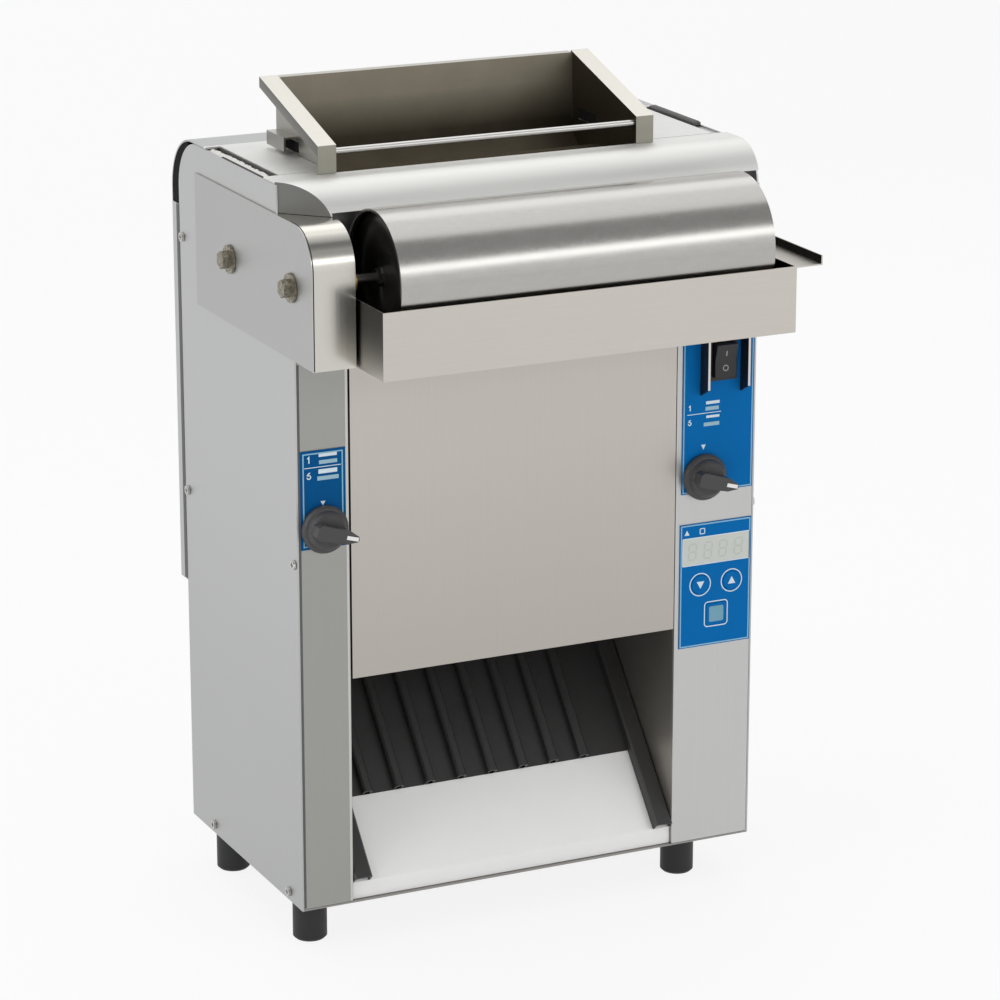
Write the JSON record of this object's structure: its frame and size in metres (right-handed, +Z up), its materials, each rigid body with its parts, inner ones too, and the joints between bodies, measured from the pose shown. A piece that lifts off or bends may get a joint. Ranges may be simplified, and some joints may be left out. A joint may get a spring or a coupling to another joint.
{
  "type": "vertical contact toaster",
  "caption": "Upright bun toaster: top feeder over a heated platen between two conveyors, ribbed discharge chute, knobs and keypad, butter roller in its pan on the front.",
  "frame": {"origin": "on the floor under the middle of the whole part", "axes": "+X to the right as seen from the front, +Y to the back, +Z up"},
  "size_m": [0.4404, 0.356, 0.709],
  "materials": {
    "steel": "satin brushed stainless steel",
    "warm_steel": "fine brushed stainless steel with a warm tone",
    "bright_steel": "polished stainless steel",
    "roller_steel": "mottled satin stainless steel",
    "machine_steel": "turned steel",
    "bronze": "sintered bronze",
    "platen": "heat-stained cast aluminium",
    "element": "dull oxidised sheath",
    "release": "coated glass cloth",
    "belt": "ribbed silicone",
    "motor": "dark grey paint",
    "rubber": "matt black",
    "black_plastic": "matt black",
    "black_metal": "black non-stick coat",
    "blue_label": "blue printed film with pale marks",
    "display": "grey display window",
    "board": "green circuit board"
  },
  "bodies": {
    "casing": {"base_plate": "steel", "feet": "rubber", "left_side_panel": "steel", "right_side_panel": "steel", "panel_screws": "machine_steel", "left_frame_plate": "steel", "right_frame_plate": "steel", "left_column": "steel", "right_column": "steel", "front_cover": "warm_steel", "recess_panel": "warm_steel", "rear_panel": "steel", "rear_cover": "steel", "corner_trims": "black_plastic", "hood": "steel", "side_cap": "steel", "cap_bolts": "machine_steel", "feeder_left_side": "steel", "feeder_right_side": "steel", "feeder_rear_plate": "steel", "feeder_divider": "steel", "feeder_rod": "bright_steel", "heated_platen": "platen", "heating_element": "element", "release_sheet": "release", "front_belt": "belt", "rear_belt": "belt", "shaft_bushes": "bronze", "drive_chain": "machine_steel", "gear_motor": "motor", "roller_bracket": "steel", "butter_pan": "warm_steel", "left_label": "blue_label", "right_label": "blue_label", "control_label": "blue_label", "display": "display", "power_switch": "black_plastic", "switch_guard": "black_metal", "control_board": "board", "ribbed_chute": "black_metal", "landing_plate": "bright_steel", "cord_gland": "black_plastic"},
    "motor_shaft_body": {"motor_sprocket": "machine_steel"},
    "rear_drive": {"rear_drive_roller": "machine_steel", "rear_drive_gear": "machine_steel", "shaft_sprocket": "machine_steel"},
    "front_drive": {"front_drive_roller": "machine_steel", "front_drive_gear": "machine_steel"},
    "front_idler": {"front_idler_roller": "machine_steel"},
    "rear_idler": {"rear_idler_roller": "machine_steel"},
    "roller": {"butter_roller": "roller_steel", "roller_axle": "machine_steel"},
    "left_knob_body": {"left_knob": "black_plastic"},
    "right_knob_body": {"right_knob": "black_plastic"},
    "front_plate_body": {"front_pressure_plate": "steel"},
    "rear_plate_body": {"rear_pressure_plate": "steel"},
    "rocker_body": {"switch_rocker": "black_plastic"},
    "down_key_body": {"down_key": "blue_label"},
    "up_key_body": {"up_key": "blue_label"},
    "start_key_body": {"start_key": "blue_label"}
  },
  "joints": [
    {"name": "motor_turn", "type": "hinge", "parent": "casing", "child": "motor_shaft_body", "pos_m": [0.0009, 0.103, 0.437], "axis": [1, 0, 0], "continuous": true},
    {"name": "rear_drive_turn", "type": "hinge", "parent": "casing", "child": "rear_drive", "pos_m": [0.0009, 0.0555, 0.59], "axis": [1, 0, 0], "continuous": true},
    {"name": "front_drive_turn", "type": "hinge", "parent": "casing", "child": "front_drive", "pos_m": [0.0009, -0.039, 0.59], "axis": [1, 0, 0], "continuous": true},
    {"name": "rear_idler_turn", "type": "hinge", "parent": "casing", "child": "rear_idler", "pos_m": [0.0009, 0.0555, 0.312], "axis": [1, 0, 0], "continuous": true},
    {"name": "front_idler_turn", "type": "hinge", "parent": "casing", "child": "front_idler", "pos_m": [0.0009, -0.039, 0.312], "axis": [1, 0, 0], "continuous": true},
    {"name": "butter_roller_turn", "type": "hinge", "parent": "casing", "child": "roller", "pos_m": [0.0009, -0.12, 0.5814], "axis": [1, 0, 0], "continuous": true},
    {"name": "left_knob_turn", "type": "hinge", "parent": "casing", "child": "left_knob_body", "pos_m": [-0.1861, -0.087, 0.37], "axis": [0, -1, 0], "range_deg": [-29, 241]},
    {"name": "right_knob_turn", "type": "hinge", "parent": "casing", "child": "right_knob_body", "pos_m": [0.1614, -0.087, 0.37], "axis": [0, -1, 0], "range_deg": [-29, 241]},
    {"name": "rear_plate_slide", "type": "slide", "parent": "casing", "child": "rear_plate_body", "axis": [0, 1, 0], "range_m": [-0.00446, 0.00053]},
    {"name": "front_plate_slide", "type": "slide", "parent": "casing", "child": "front_plate_body", "axis": [0, 1, 0], "range_m": [-0.00053, 0.00446]},
    {"name": "switch_rock", "type": "hinge", "parent": "casing", "child": "rocker_body", "pos_m": [0.1779, -0.0874, 0.4715], "axis": [1, 0, 0], "range_deg": [-14, 0]},
    {"name": "down_key_press", "type": "slide", "parent": "casing", "child": "down_key_body", "axis": [0, 1, 0], "range_m": [0, 0.0005], "stiffness_N_per_m": 600},
    {"name": "up_key_press", "type": "slide", "parent": "casing", "child": "up_key_body", "axis": [0, 1, 0], "range_m": [0, 0.0005], "stiffness_N_per_m": 600},
    {"name": "start_key_press", "type": "slide", "parent": "casing", "child": "start_key_body", "axis": [0, 1, 0], "range_m": [0, 0.0005], "stiffness_N_per_m": 600}
  ],
  "couplings": [
    {"joint": "rear_drive_turn", "follows": "motor_turn", "ratio": 1},
    {"joint": "front_drive_turn", "follows": "motor_turn", "ratio": -1},
    {"joint": "rear_idler_turn", "follows": "motor_turn", "ratio": 1},
    {"joint": "front_idler_turn", "follows": "motor_turn", "ratio": -1},
    {"joint": "right_knob_turn", "follows": "front_plate_slide", "rad_per_m": 942.5},
    {"joint": "left_knob_turn", "follows": "rear_plate_slide", "rad_per_m": -942.5}
  ]
}
